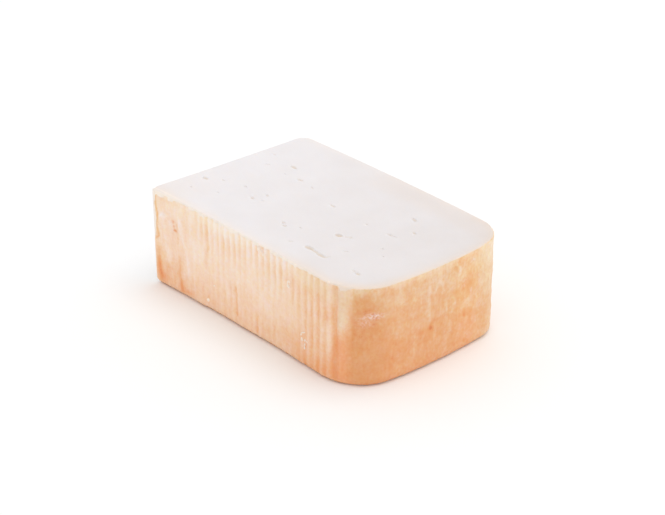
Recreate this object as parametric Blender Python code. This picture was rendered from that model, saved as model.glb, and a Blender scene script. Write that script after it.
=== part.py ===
"""A piece of taleggio, as cut from the corner of a whole cheese and stood on its side.

A whole taleggio is a low square cheese, about 200 mm across and 66 mm high. Its two broad
faces carry the fine ribs of the mat it drained on, and its narrow sides, the heels, are
smoother and bulge a little. This piece is half a side long. It stands on one heel, so the
two ribbed faces are its long sides, the other heel is its right end, and the knife has left
a white face on top and one at the left end.

Metres, +Z up. The origin is the middle of the underside. +X runs along the ribbed sides,
from the cut end to the heel, and -Y is the near ribbed side.
"""

import math
import random

import bmesh
import bpy
from mathutils import Matrix, Vector, noise

MM = 0.001

# The size of the piece.
LENGTH = 100.0 * MM  # from the cut end to the heel, without the heel's bulge
CHEESE_HEIGHT = 67.0 * MM  # between the two ribbed faces
SLICE = 35.5 * MM  # from the heel it stands on up to the cut face

# The four upright corners, in plan.
NEAR_HEEL_RADIUS = 15.0 * MM
FAR_HEEL_RADIUS = 8.8 * MM
FAR_CUT_RADIUS = 3.8 * MM
NEAR_CUT_RADIUS = 0.7 * MM

# How far the middle of each side stands out from a straight line between its corners.
HEEL_BULGE = 2.8 * MM
FAR_BULGE = 1.0 * MM
NEAR_BULGE = -1.3 * MM
CUT_END_BULGE = -0.3 * MM

# The edge between the sides and the heel underneath, and the soft lip of paste round the
# cut face on top.
HEEL_EDGE_RADIUS = 2.4 * MM
LIP_DROP = 0.6 * MM
LIP_INSET = 0.35 * MM

# The knife was a little off square at the cut end: its foot is drawn in, and its near corner
# reaches further out than its far one.
CUT_END_LEAN = 0.9 * MM
CUT_END_TURN = math.radians(0.9)

# The mat's ribs, counted from the cut end. Each is a little wider than the one before.
FIRST_RIB = 1.2 * MM
RIB_PITCH = 2.42 * MM
RIB_PITCH_STEP = 0.0253 * MM
RIB_DEPTH = 0.42 * MM
WIDE_FOLDS_UP_TO = 18.0 * MM  # nearer the cut end, only every other rib shows
ALL_RIBS_FROM = 27.0 * MM
NEAR_STATIONS_PER_RIB = 5
FAR_STATIONS_PER_RIB = 4

# The rind's soft unevenness, and the fold beside the near heel corner.
DIMPLE_DEPTH = 0.45 * MM
DIMPLE_SIZE = 9.0 * MM
FOLD_ANGLE = math.radians(22.0)  # round the corner, from the near side
FOLD_DEPTH = 0.8 * MM
FOLD_WIDTH = 1.1 * MM
LUMP_ANGLE = math.radians(32.0)
LUMP_HEIGHT = 0.7 * MM
LUMP_WIDTH = 2.2 * MM
LUMP_DROP = 13.0 * MM  # its middle, below the cut face
LUMP_LENGTH = 5.0 * MM

# The openings that the knife has laid bare in the cut face on top:
# x and y of the middle, from the near cut corner; length; width; turn in degrees; bend.
TOP_OPENINGS = (
    (70.3, 11.4, 11.8, 2.0, -7, 0.030),
    (66.6, 24.6, 3.9, 1.8, -38, 0.0),
    (89.4, 11.7, 4.8, 1.6, -16, 0.0),
    (76.6, 18.9, 2.3, 1.6, 50, 0.0),
    (49.0, 16.7, 4.8, 1.3, -38, 0.0),
    (59.4, 9.9, 2.5, 1.7, -50, 0.0),
    (49.0, 37.4, 4.8, 1.5, -20, 0.02),
    (18.2, 47.5, 4.6, 2.0, -27, 0.0),
    (27.5, 42.3, 3.9, 1.8, -20, 0.0),
    (34.3, 41.3, 2.9, 1.2, -30, 0.0),
    (29.3, 26.1, 2.9, 1.4, -45, 0.0),
    (27.5, 21.1, 3.7, 1.8, -30, 0.0),
    (10.0, 22.8, 3.1, 1.6, -30, 0.0),
    (5.2, 18.9, 3.5, 1.9, -25, 0.0),
    (77.9, 37.4, 4.2, 1.6, 12, -0.03),
    (67.1, 37.0, 3.3, 1.2, -35, 0.0),
    (81.4, 44.2, 3.3, 1.3, -50, 0.0),
    (74.3, 50.8, 3.3, 1.4, -25, 0.0),
    (82.9, 28.8, 2.3, 1.1, -40, 0.0),
    (86.8, 25.3, 2.3, 1.1, -40, 0.0),
)
# Openings that run out of those above, so they are cut after them.
BRANCH_OPENINGS = (
    (76.2, 12.7, 4.7, 2.3, 58, 0.0),
    (69.2, 25.6, 4.1, 1.2, 42, 0.0),
)
OPENING_DEPTH_SHARE = 0.62  # of its width
OPENING_SEGMENTS, OPENING_RINGS = 10, 6
END_OPENINGS = 9
END_SEED = 4

# The sides' rows: how many rise evenly between the rounded edge and the lip.
EVEN_ROWS = 6


class Station:
    """A place on the outline in plan: its point, the way out of the cheese, and what is there."""

    def __init__(self, point, outward, ribs=None, rind=1.0, corner_angle=None):
        self.point = Vector(point)
        self.outward = Vector(outward).normalized()
        self.ribs = ribs  # how many ribs lie between here and the cut end, or None
        self.rind = rind  # 1 on rind, 0 on the cut end
        self.corner_angle = corner_angle  # on the near heel corner only


def smoothstep(low, high, value):
    share = min(1.0, max(0.0, (value - low) / (high - low)))
    return share * share * (3 - 2 * share)


def rib_distance(count):
    """How far from the cut end the crest of a rib is, or a place between two crests."""
    return FIRST_RIB + count * (RIB_PITCH + count * RIB_PITCH_STEP / 2)


def rib_marks(start, end, per_rib):
    """Distances along a ribbed side, and the rib count at each, evenly through every rib."""
    step = 0
    while True:
        count = step / per_rib
        distance = rib_distance(count)
        if distance > end:
            return
        if distance > start:
            yield distance, count
        step += 1


def arc(centre, radius, start_degrees, steps):
    """Points and outward directions round a quarter turn, with both ends."""
    for step in range(steps + 1):
        angle = math.radians(start_degrees + 90.0 * step / steps)
        outward = Vector((math.cos(angle), math.sin(angle)))
        yield Vector(centre) + radius * outward, outward, math.pi / 2 * step / steps


def outline():
    """The stations round the cheese, counter-clockwise from the near cut corner."""
    stations = []
    corner = NEAR_CUT_RADIUS
    for point, outward, _ in arc((corner, corner), corner, 180, 3):
        stations.append(Station(point, outward, rind=0.5))
    near_end = LENGTH - NEAR_HEEL_RADIUS
    for x, count in rib_marks(NEAR_CUT_RADIUS, near_end, NEAR_STATIONS_PER_RIB):
        stations.append(Station((x, 0), (0, -1), ribs=count))
    corner = NEAR_HEEL_RADIUS
    for point, outward, angle in arc((near_end, corner), corner, 270, 16):
        stations.append(Station(point, outward, corner_angle=angle))
    heel_start, heel_end = NEAR_HEEL_RADIUS, CHEESE_HEIGHT - FAR_HEEL_RADIUS
    for step in range(1, 20):
        y = heel_start + (heel_end - heel_start) * step / 20
        stations.append(Station((LENGTH, y), (1, 0)))
    corner = FAR_HEEL_RADIUS
    centre = (LENGTH - corner, CHEESE_HEIGHT - corner)
    for point, outward, _ in arc(centre, corner, 0, 9):
        stations.append(Station(point, outward))
    marks = list(rib_marks(FAR_CUT_RADIUS, LENGTH - corner, FAR_STATIONS_PER_RIB))
    for x, count in reversed(marks):
        stations.append(Station((x, CHEESE_HEIGHT), (0, 1), ribs=count))
    corner = FAR_CUT_RADIUS
    for point, outward, angle in arc((corner, CHEESE_HEIGHT - corner), corner, 90, 5):
        stations.append(Station(point, outward, rind=1 - angle / (math.pi / 2)))
    for step in range(1, 12):
        y = (CHEESE_HEIGHT - corner) * (1 - step / 12)
        stations.append(Station((0, y), (-1, 0), rind=0.0))
    return stations


def bulge(point):
    """How the bow of the four sides and the turn of the cut end move a point of the plan."""
    across, along = point.x / LENGTH, point.y / CHEESE_HEIGHT
    bow_x = 4 * along * (1 - along)
    bow_y = 4 * across * (1 - across)
    turned = math.tan(CUT_END_TURN) * (point.y - CHEESE_HEIGHT / 2)
    return Vector(
        (
            bow_x * HEEL_BULGE * across + (turned - bow_x * CUT_END_BULGE) * (1 - across),
            bow_y * (FAR_BULGE * along - NEAR_BULGE * (1 - along)),
        )
    )


def rib_groove(count, x):
    """0 on a crest and 1 in the bottom of a groove."""
    every = 0.5 - 0.5 * math.cos(2 * math.pi * count)
    every_other = 0.5 + 0.5 * math.cos(math.pi * count)
    share = smoothstep(WIDE_FOLDS_UP_TO, ALL_RIBS_FROM, x)
    return every_other + share * (every - every_other)


def rib_strength(x, z):
    """The ribs are clear near the heel and fade towards the cut end and low down."""
    along = smoothstep(0.0, 0.45, x / LENGTH)
    patchy = 0.75 + 0.6 * noise.noise(Vector((x / (20 * MM), z / (12 * MM), 3.0)))
    low = 0.6 + 0.4 * smoothstep(0.1, 0.6, z / SLICE)
    return (0.35 + 0.65 * along) * min(1.0, max(0.2, patchy)) * low


def relief(station, z):
    """How far the rind stands out from the plain side at this station and height."""
    point = station.point
    place = Vector((point.x, point.y, z)) / DIMPLE_SIZE
    height = DIMPLE_DEPTH * noise.fractal(place, 0.9, 2.1, 3) * station.rind
    if station.ribs is not None:
        groove = rib_groove(station.ribs, point.x)
        height -= RIB_DEPTH * groove * rib_strength(point.x, z)
    if station.corner_angle is not None:
        from_fold = (station.corner_angle - FOLD_ANGLE) * NEAR_HEEL_RADIUS / FOLD_WIDTH
        height -= FOLD_DEPTH * math.exp(-from_fold * from_fold)
        from_lump = (station.corner_angle - LUMP_ANGLE) * NEAR_HEEL_RADIUS / LUMP_WIDTH
        from_drop = (SLICE - z - LUMP_DROP) / LUMP_LENGTH
        height += LUMP_HEIGHT * math.exp(-from_lump**2 - from_drop**2)
    return height


def edge_inset(station, z):
    """How far the rounded edge above the underside, or the lip on top, draws in."""
    below = max(0.0, HEEL_EDGE_RADIUS - z)
    rounding = HEEL_EDGE_RADIUS - math.sqrt(HEEL_EDGE_RADIUS**2 - below**2)
    lip = LIP_INSET * max(0.0, (z - SLICE + LIP_DROP) / LIP_DROP)
    return rounding * station.rind + lip


def side_levels():
    """The heights of the rows of points up the sides."""
    start, end = HEEL_EDGE_RADIUS, SLICE - LIP_DROP
    even = [start + (end - start) * row / EVEN_ROWS for row in range(EVEN_ROWS + 1)]
    return [0.0, 0.3 * HEEL_EDGE_RADIUS] + even + [SLICE]


def ring_point(station, z):
    """The point of the surface at a station and height."""
    inset = edge_inset(station, z)
    flat = station.point + bulge(station.point)
    flat += station.outward * (relief(station, z) - inset)
    lean = CUT_END_LEAN * (1 - z / SLICE) * (1 - station.point.x / LENGTH)
    return Vector((flat.x + lean, flat.y, z))


def make_block():
    """The cheese with its rind and both cut faces, before its openings."""
    mesh = bmesh.new()
    stations = outline()
    rings = [
        [mesh.verts.new(ring_point(station, z)) for station in stations]
        for z in side_levels()
    ]
    count = len(stations)
    for lower, upper in zip(rings, rings[1:]):
        for here in range(count):
            ahead = (here + 1) % count
            mesh.faces.new((lower[here], lower[ahead], upper[ahead], upper[here]))
    mesh.faces.new(rings[-1])
    mesh.faces.new(rings[0][::-1])
    bmesh.ops.recalc_face_normals(mesh, faces=mesh.faces)
    data = bpy.data.meshes.new("taleggio")
    mesh.to_mesh(data)
    mesh.free()
    return data


def add_opening(mesh, place, length, width, turn, bend):
    """A bent, flattened ball that cuts one opening. place turns its up into the way out."""
    made = bmesh.ops.create_uvsphere(
        mesh, u_segments=OPENING_SEGMENTS, v_segments=OPENING_RINGS, radius=1.0
    )
    depth = width * OPENING_DEPTH_SHARE
    turned = place @ Matrix.Rotation(turn, 4, "Z")
    for vertex in made["verts"]:
        x = vertex.co.x * length / 2
        y = vertex.co.y * width / 2 + bend * x * x / MM
        vertex.co = turned @ Vector((x, y, vertex.co.z * depth))


def add_top_openings(mesh, openings):
    for x, y, length, width, turn, bend in openings:
        place = Matrix.Translation((x * MM, y * MM, SLICE))
        add_opening(mesh, place, length * MM, width * MM, math.radians(turn), bend)


def add_end_openings(mesh):
    """Small openings over the cut end, each in its own stretch so that none cross."""
    draw = random.Random(END_SEED)
    outwards = Matrix.Rotation(math.radians(-90), 4, "Y")
    for number in range(END_OPENINGS):
        share = (number + 0.5) / END_OPENINGS
        y = CHEESE_HEIGHT * (0.1 + 0.8 * share)
        z = SLICE * draw.uniform(0.15, 0.85)
        length, width = draw.uniform(2.2, 4.4) * MM, draw.uniform(1.1, 1.8) * MM
        x = CUT_END_LEAN * (1 - z / SLICE) + bulge(Vector((0, y))).x
        place = Matrix.Translation((x, y, z)) @ outwards
        add_opening(mesh, place, length, width, draw.uniform(0, math.pi), 0.0)


def cheese_material():
    """The washed rind's pale orange, matt and a little greasy."""
    material = bpy.data.materials.new("cheese")
    material.use_nodes = True
    shader = material.node_tree.nodes["Principled BSDF"]
    shader.inputs["Base Color"].default_value = (0.86, 0.62, 0.42, 1.0)
    shader.inputs["Roughness"].default_value = 0.6
    shader.inputs["Metallic"].default_value = 0.0
    return material


def add_object(name, data):
    made = bpy.data.objects.new(name, data)
    bpy.context.scene.collection.objects.link(made)
    return made


def middle_of_underside(data):
    low = [min(vertex.co[axis] for vertex in data.vertices) for axis in range(3)]
    high = [max(vertex.co[axis] for vertex in data.vertices) for axis in range(3)]
    return Vector(((low[0] + high[0]) / 2, (low[1] + high[1]) / 2, low[2]))


def cut_openings(cheese, name, mesh):
    """Takes the mesh's balls out of the cheese. They move with it."""
    data = bpy.data.meshes.new(name)
    mesh.to_mesh(data)
    mesh.free()
    cutters = add_object(name, data)
    cutters.location = cheese.location
    cutters.hide_render = True
    cutters.display_type = "WIRE"
    cut = cheese.modifiers.new(name, "BOOLEAN")
    cut.operation = "DIFFERENCE"
    cut.object = cutters


def main():
    for old in list(bpy.data.objects):
        bpy.data.objects.remove(old)

    cheese = add_object("taleggio", make_block())
    cheese.location = -middle_of_underside(cheese.data)
    cheese.data.materials.append(cheese_material())
    cheese.data.shade_smooth()
    cheese.data.set_sharp_from_angle(angle=math.radians(40))

    openings = bmesh.new()
    add_top_openings(openings, TOP_OPENINGS)
    add_end_openings(openings)
    cut_openings(cheese, "openings", openings)

    branches = bmesh.new()
    add_top_openings(branches, BRANCH_OPENINGS)
    cut_openings(cheese, "branches", branches)


main()
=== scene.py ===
# %% [markdown]
# # A piece of taleggio
#
# Taleggio is a low, square, soft cheese. Its rind is washed with brine, which turns it cream
# to peach and orange, and the mat it drains on leaves fine ribs on its two broad faces. This
# piece was cut from a corner and stands on its narrow side. So its long sides are the ribbed
# faces, its right end is the rounded heel of the cheese, and the knife left smooth white
# paste on top and at the left end.
#
# The solid model is loaded first, as a frame that nothing here may move. The piece that shows
# is then modelled over it from a box, and painted with a few maps. The same maps press the
# relief into the shape and colour it, so the two always agree.

# %% Load the solid model
import math
import random

import bpy
import numpy as np
from mathutils import Matrix, Vector, noise
from mathutils.kdtree import KDTree


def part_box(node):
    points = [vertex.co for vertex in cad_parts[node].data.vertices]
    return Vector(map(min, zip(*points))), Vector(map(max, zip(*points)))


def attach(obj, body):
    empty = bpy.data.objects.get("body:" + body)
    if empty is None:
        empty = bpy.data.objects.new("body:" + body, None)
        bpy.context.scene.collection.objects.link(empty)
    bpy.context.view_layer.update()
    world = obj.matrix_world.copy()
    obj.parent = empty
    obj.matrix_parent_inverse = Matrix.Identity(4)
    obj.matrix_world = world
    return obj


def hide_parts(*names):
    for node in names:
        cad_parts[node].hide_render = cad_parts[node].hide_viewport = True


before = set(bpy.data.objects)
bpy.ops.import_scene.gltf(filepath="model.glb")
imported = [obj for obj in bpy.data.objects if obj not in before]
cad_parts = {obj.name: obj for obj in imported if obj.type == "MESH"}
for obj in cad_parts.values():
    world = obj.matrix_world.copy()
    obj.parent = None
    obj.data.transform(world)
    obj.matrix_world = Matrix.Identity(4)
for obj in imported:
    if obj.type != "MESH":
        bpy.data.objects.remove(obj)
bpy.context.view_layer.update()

MM = 0.001
low, high = (Vector(corner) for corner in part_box("taleggio"))
print("the solid is", [round(side / MM, 1) for side in high - low], "mm")

# %% [markdown]
# ## The camera
#
# A camera is easiest to place by what it looks at: a point, two angles round it and a
# distance. A long lens from far away keeps the sides of the cheese nearly parallel. The
# slight roll is the tilt of a camera held by hand.

# %% Place the camera
AIM = Vector((0.7, 0.9, 18.0)) * MM
AZIMUTH, ELEVATION, ROLL = math.radians(48.13), math.radians(27.57), math.radians(0.58)
DISTANCE = 0.6692
LENS, SENSOR_WIDTH = 108.75, 36.0  # mm

away = Vector((
    math.cos(ELEVATION) * math.sin(AZIMUTH),
    -math.cos(ELEVATION) * math.cos(AZIMUTH),
    math.sin(ELEVATION),
))
bpy.ops.object.camera_add(location=AIM + DISTANCE * away)
camera = bpy.context.object
camera.name = "camera"
level = away.to_track_quat("Z", "Y").to_matrix()
camera.rotation_euler = (level @ Matrix.Rotation(ROLL, 3, "Z")).to_euler()
camera.data.sensor_width = SENSOR_WIDTH
camera.data.lens = LENS
camera.data.clip_start = 0.01
bpy.context.scene.camera = camera
print("the camera stands", round((camera.location - AIM).length, 3), "m away")

# %% [markdown]
# ## The light and the floor
#
# Pale food on a white table is lit from all round, so that nothing is darker than a soft
# grey. A white sky does most of it. One large lamp, high above and a little behind the right
# end, adds just enough direction to show the ribs. The plain colour transform keeps white as
# white.

# %% Light the scene
SKY_COLOUR, SKY_STRENGTH = (1.0, 1.0, 1.0), 0.9
LAMP_POWER, LAMP_SIZE = 3.6, 0.9
LAMP_PLACE = Vector((0.25, 0.30, 1.3))


def set_inputs(node, values):
    """Sets inputs of a node. Each value is a number, a colour or another node's output."""
    for name, value in values.items():
        socket = node.inputs[name]
        if isinstance(value, bpy.types.NodeSocket):
            node.id_data.links.new(value, socket)
        else:
            socket.default_value = (*value, 1.0) if socket.type == "RGBA" else value


scene = bpy.context.scene
scene.view_settings.view_transform = "Standard"
world = bpy.data.worlds.new("white studio")
world.use_nodes = True
sky = world.node_tree.nodes["Background"]
set_inputs(sky, {"Color": SKY_COLOUR, "Strength": SKY_STRENGTH})
scene.world = world

bpy.ops.object.light_add(type="AREA", location=LAMP_PLACE)
lamp = bpy.context.object
lamp.name = "soft lamp"
lamp.data.size = LAMP_SIZE
lamp.data.energy = LAMP_POWER
lamp.rotation_euler = LAMP_PLACE.to_track_quat("Z", "Y").to_euler()
print("the lamp is", round(LAMP_PLACE.length, 2), "m from the cheese")

# %% Lay the floor
FLOOR_SIZE = 6.0
FLOOR_COLOUR, FLOOR_ROUGHNESS = (0.97, 0.97, 0.97), 0.9


def give_material(piece, name, shine, roughness):
    """Gives a piece one new material, and returns the material's shader."""
    material = bpy.data.materials.new(name)
    material.use_nodes = True
    piece.data.materials.clear()
    piece.data.materials.append(material)
    shader = material.node_tree.nodes["Principled BSDF"]
    set_inputs(shader, {"Specular IOR Level": shine, "Roughness": roughness})
    return shader


bpy.ops.mesh.primitive_plane_add(size=FLOOR_SIZE, location=(0, 0, 0))
floor = bpy.context.object
floor.name = "floor"
shader = give_material(floor, "white table", 0.0, FLOOR_ROUGHNESS)
set_inputs(shader, {"Base Color": FLOOR_COLOUR})
print("the floor is", FLOOR_SIZE, "m across")

# %% [markdown]
# ## The block
#
# The piece is a slab of cheese, so it starts as a box. Each upright corner has its own
# radius, because soft cheese slumps: wide at the heel, small at the knife cut. A bevel of one
# edge at a time gives that. The rounded edge above the underside and the soft lip round the
# top are bevels too.

# %% Model the block from a box
LENGTH, WIDTH, HEIGHT = 100.0 * MM, 67.0 * MM, 35.5 * MM
CUT_END_TURN = math.radians(0.9)  # the knife was a little off square
TURNED_OUT = math.tan(CUT_END_TURN) * WIDTH / 2
CORNER = low + Vector((TURNED_OUT, 0.0, 0.0))  # the near cut corner: all places count from it
CORNER_RADII = {
    (LENGTH, 0.0): 15.0 * MM,
    (LENGTH, WIDTH): 8.8 * MM,
    (0.0, WIDTH): 3.8 * MM,
    (0.0, 0.0): 0.7 * MM,
}
FOOT_RADIUS, FOOT_SEGMENTS = 2.4 * MM, 5
LIP_RADIUS, LIP_SEGMENTS = 0.35 * MM, 3
TOUCH = 0.01 * MM


def deselect_all():
    bpy.ops.object.select_all(action="DESELECT")


def bevel_edges(piece, wanted, width, segments):
    """Rounds the edges for which wanted(one end, other end) is true."""
    bpy.ops.object.mode_set(mode="EDIT")
    bpy.ops.mesh.select_mode(type="EDGE")
    bpy.ops.mesh.select_all(action="DESELECT")
    bpy.ops.object.mode_set(mode="OBJECT")
    points = piece.data.vertices
    for edge in piece.data.edges:
        start, end = (points[index].co - CORNER for index in edge.vertices)
        edge.select = wanted(start, end)
    bpy.ops.object.mode_set(mode="EDIT")
    bpy.ops.mesh.bevel(offset=width, segments=segments, affect="EDGES")
    bpy.ops.object.mode_set(mode="OBJECT")


def is_foot(start, end):
    """True for the edges round the underside, but for the cut end's."""
    return max(start.z, end.z) < TOUCH and max(start.x, end.x) > TOUCH


def is_lip(start, end):
    """True for the edges round the top, but for the cut end's and the far side's."""
    middle = (start + end) / 2
    on_top = min(start.z, end.z) > HEIGHT - TOUCH
    return on_top and middle.x > 0.25 * LENGTH and middle.y < 0.95 * WIDTH


deselect_all()
size = Vector((LENGTH, WIDTH, HEIGHT))
bpy.ops.mesh.primitive_cube_add(size=1.0, location=CORNER + size / 2, scale=size)
cheese = bpy.context.object
cheese.name = "washed_rind_cheese"
bpy.ops.object.transform_apply(location=True, rotation=True, scale=True)
for (x, y), radius in CORNER_RADII.items():
    place = Vector((x, y, 0.0))
    bevel_edges(
        cheese,
        lambda start, end: all((p - place).to_2d().length < TOUCH for p in (start, end)),
        radius,
        max(3, round(radius / MM)),
    )
bevel_edges(cheese, is_foot, FOOT_RADIUS, FOOT_SEGMENTS)
bevel_edges(cheese, is_lip, LIP_RADIUS, LIP_SEGMENTS)
print("the block has", len(cheese.data.polygons), "faces")

# %% [markdown]
# ## The openings
#
# As the curd settles it leaves small gaps, and the knife lays them bare as slits in the
# white face. Each is a flattened ball cut out of the block, set on a slant, so the slit has
# one sloping wall and runs in under its near edge. Where two balls cross they make a
# branching slit, so all of them are first fused into one skin by a remesh. Most lie nearly
# along the piece, the way the curd was pressed.

# %% Shape the balls that cut the openings
# x and y of the middle, from the near cut corner; length; width; turn in degrees.
OPENINGS = (
    (66.2, 10.5, 4.4, 2.1, 1), (69.3, 10.3, 4.8, 1.4, 0), (72.6, 10, 5.2, 1.8, 0),
    (74.4, 10.9, 2.4, 1, 60), (65.1, 23.4, 3, 2.3, 5), (67.2, 24.3, 4.2, 0.9, 27),
    (68.6, 25.3, 1.7, 1.1, 4), (74.8, 17.7, 2.3, 1, 36), (47.2, 15.8, 1.9, 1.1, -12),
    (49.2, 14.4, 1.9, 1.1, 10), (59, 8.8, 2.4, 1, 40), (53.3, 17.5, 1.8, 0.8, -11),
    (47.8, 36.2, 3.5, 1.2, -7), (17.4, 46.5, 4, 1.5, -8), (26.3, 41.3, 3.6, 1.3, 5),
    (33.3, 40.2, 2.2, 0.8, -18), (28.4, 25, 1.8, 1.1, -18), (30.5, 21.1, 1.3, 0.7, -18),
    (26.7, 20.1, 3, 1.2, -20), (64.9, 35.5, 1.8, 1, -5), (75.1, 36.3, 2.8, 1.2, 6),
    (76.8, 36.6, 2.2, 0.8, 23), (79.2, 43.3, 2.4, 1.2, -18), (72.7, 49.8, 3, 1.3, -16),
    (80.5, 28.1, 1.3, 0.7, -8), (84.5, 24.7, 1.4, 0.7, -11), (86.7, 11.4, 2.4, 1, -2),
    (88.8, 11, 2.8, 1.5, -10), (5.2, 48.6, 2.2, 0.9, 0), (9.6, 41.5, 2.8, 0.7, 30),
    (5.1, 18.5, 3, 1.6, -7), (10, 21.8, 2.1, 1, -9), (7.4, 10.5, 1.8, 0.7, -24),
    (16.5, 14.2, 1.8, 0.7, -15), (18.6, 24.1, 2.1, 0.8, -18), (19.4, 40.6, 1.8, 0.7, -19),
)
# As shares of an opening's width: how broad and how thick its ball is, and how far the
# ball's middle is moved back and lifted out, so that it leaves an opening of that width.
BROAD, THICK, MOVED, LIFTED = 1.5, 0.8, 0.11, 0.2
SLANT = Matrix.Rotation(math.radians(45), 4, "X")
END_OPENINGS, END_SEED = 11, 4
END_LENGTHS, END_WIDTHS = (2.2, 4.4), (1.0, 1.7)  # mm
END_MARGIN, END_RISES = 0.1, (0.15, 0.85)  # shares of the piece's width and height


def add_ball(place, length, width, turn):
    """A slanting flat ball for an opening at place. turn is a rotation matrix."""
    bpy.ops.mesh.primitive_uv_sphere_add(segments=20, ring_count=12, radius=0.5)
    ball = bpy.context.object
    shift = Matrix.Translation((0.0, MOVED * width, LIFTED * width))
    stretch = Matrix.Diagonal((length, BROAD * width, THICK * width, 1.0))
    ball.data.transform(Matrix.Translation(place) @ turn @ shift @ SLANT @ stretch)
    return ball


balls = []
for x, y, length, width, degrees in OPENINGS:
    place = CORNER + Vector((x * MM, y * MM, HEIGHT))
    turn = Matrix.Rotation(math.radians(degrees), 4, "Z")
    balls.append(add_ball(place, length * MM, width * MM, turn))
draw = random.Random(END_SEED)
facing_end = Matrix.Rotation(math.radians(-90), 4, "Y")
for number in range(END_OPENINGS):
    y = WIDTH * (END_MARGIN + (1 - 2 * END_MARGIN) * (number + 0.5) / END_OPENINGS)
    width = draw.uniform(*END_WIDTHS) * MM
    place = CORNER + Vector((0.0, y, HEIGHT * draw.uniform(*END_RISES)))
    turn = facing_end @ Matrix.Rotation(draw.uniform(0, math.pi), 4, "Z")
    balls.append(add_ball(place, draw.uniform(*END_LENGTHS) * MM, width, turn))
print("there are", len(balls), "balls")

# %% Fuse the balls and cut them out of the block
BALL_GRAIN = 0.3 * MM
PIECE_GRAIN = 0.53 * MM


def apply_modifier(piece, kind, **settings):
    """Adds one modifier with these settings and makes its result the mesh."""
    deselect_all()
    piece.select_set(True)
    bpy.context.view_layer.objects.active = piece
    modifier = piece.modifiers.new(kind.lower(), kind)
    for name, value in settings.items():
        setattr(modifier, name, value)
    bpy.ops.object.modifier_apply(modifier=modifier.name)


def join(pieces):
    """Makes one piece of several."""
    deselect_all()
    for piece in pieces:
        piece.select_set(True)
    bpy.context.view_layer.objects.active = pieces[0]
    bpy.ops.object.join()
    return bpy.context.object


cutter = join(balls)
for piece, size in ((cutter, BALL_GRAIN), (cheese, PIECE_GRAIN)):
    apply_modifier(piece, "REMESH", mode="VOXEL", voxel_size=size, use_smooth_shade=True)
apply_modifier(cheese, "BOOLEAN", operation="DIFFERENCE", object=cutter)
bpy.data.objects.remove(cutter)
print("the piece has", len(cheese.data.polygons), "faces")

# %% [markdown]
# ## Maps over the skin
#
# From here on the piece is worked like clay with a stencil. A map gives every point of the
# skin a value from 0 to 1. Pressing with a map moves the points, by a Displace modifier
# weighted with it. Painting a map keeps it on the mesh, where the materials read it.

# %% Helpers for maps
def read(parts, name):
    """Three columns, one for each axis, of a value that all these parts of the mesh have."""
    values = np.empty(3 * len(parts))
    parts.foreach_get(name, values)
    return values.reshape(-1, 3).T


def read_points():
    """Three columns in mm: along from the cut end, across from the near side, and down."""
    along, across, up = (read(cheese.data.vertices, "co") - np.array([CORNER]).T) / MM
    return along, across, HEIGHT / MM - up


def step(start, end, values):
    """Rises smoothly from 0 at start to 1 at end. It falls where end comes before start."""
    share = np.clip((values - start) / (end - start), 0, 1)
    return share * share * (3.0 - 2.0 * share)


def cloud(sizes, seed, columns=None):
    """Soft random values from about -1 to 1, in patches of these sizes along each column."""
    columns = columns or skin_points
    spread = np.stack([column / size for column, size in zip(columns, sizes)], axis=1)
    return np.array([noise.noise(Vector(point) + Vector((seed, 0.0, 0.0))) for point in spread])


def line(columns, points, width):
    """1 on a crooked line through these points, falling softly to 0 beside it."""
    nearest = np.full(len(columns[0]), np.inf)
    for (x0, y0), (x1, y1) in zip(points, points[1:]):
        run, fall = x1 - x0, y1 - y0
        share = (columns[0] - x0) * run + (columns[1] - y0) * fall
        share = np.clip(share / (run**2 + fall**2), 0, 1)
        gap = np.hypot(columns[0] - x0 - share * run, columns[1] - y0 - share * fall)
        nearest = np.minimum(nearest, gap)
    return np.exp(-((nearest / width) ** 2))


def spot(columns, middle, radii):
    """1 in the middle of an oval and falling softly to 0 outside it."""
    squares = [((c - m) / r) ** 2 for c, m, r in zip(columns, middle, radii)]
    return np.exp(-sum(squares))


def spots(near_places, heel_places):
    """Adds up soft spots: along and down the near side, and across and down the heel."""
    total = np.zeros_like(along)
    for places, columns, skin in (
        (near_places, (along, down), near_side),
        (heel_places, (across, down), heel),
    ):
        for x, fall, half_width, half_height, strength in places:
            total += strength * skin * spot(columns, (x, fall), (half_width, half_height))
    return total


def toward(values, share, goal):
    """Moves values towards a goal, all the way where share is 1."""
    return values + share * (goal - values)


def nearest_to(chosen):
    """The chosen point nearest to each point of the skin, and how far it is, in mm."""
    places = np.stack(skin_points, axis=1)
    tree = KDTree(int(chosen.sum()))
    for index in np.flatnonzero(chosen):
        tree.insert(places[index], int(index))
    tree.balance()
    found = [tree.find(place) for place in places]
    return np.array([place for place, _, _ in found]).T, np.array([gap for _, _, gap in found])


def press(weights, height, direction="NORMAL", **settings):
    """Moves each point by height times its weight, outwards or along one axis."""
    group = cheese.vertex_groups.new(name="press")
    for index in np.flatnonzero(weights > 0.0):
        group.add([int(index)], float(weights[index]), "REPLACE")
    settings = {"mid_level": 0.0, **settings}
    apply_modifier(
        cheese, "DISPLACE", vertex_group="press", strength=height, direction=direction, **settings
    )
    cheese.vertex_groups.clear()


def keep_inside(piece):
    """Moves every point that stands out past the solid's box back onto it."""
    for vertex in piece.data.vertices:
        inside = zip(vertex.co, low, high)
        vertex.co = [min(max(value, start), end) for value, start, end in inside]


def paint(name, values):
    """Keeps a map on the mesh for the materials."""
    attribute = cheese.data.attributes.new(name, "FLOAT", "POINT")
    attribute.data.foreach_set("value", np.clip(values, 0, 1).astype(np.float32))
    print(name, "is painted, mean", round(float(values.mean()), 3))


print("each map has", len(cheese.data.vertices), "values")

# %% [markdown]
# ## Which skin is where
#
# A point is paste where the knife cut, and rind elsewhere. The direction that the plain block
# faces there tells which. Heel rind, at the right end and underneath, is riper and more
# orange than the ribbed rind of the long sides.

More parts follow.
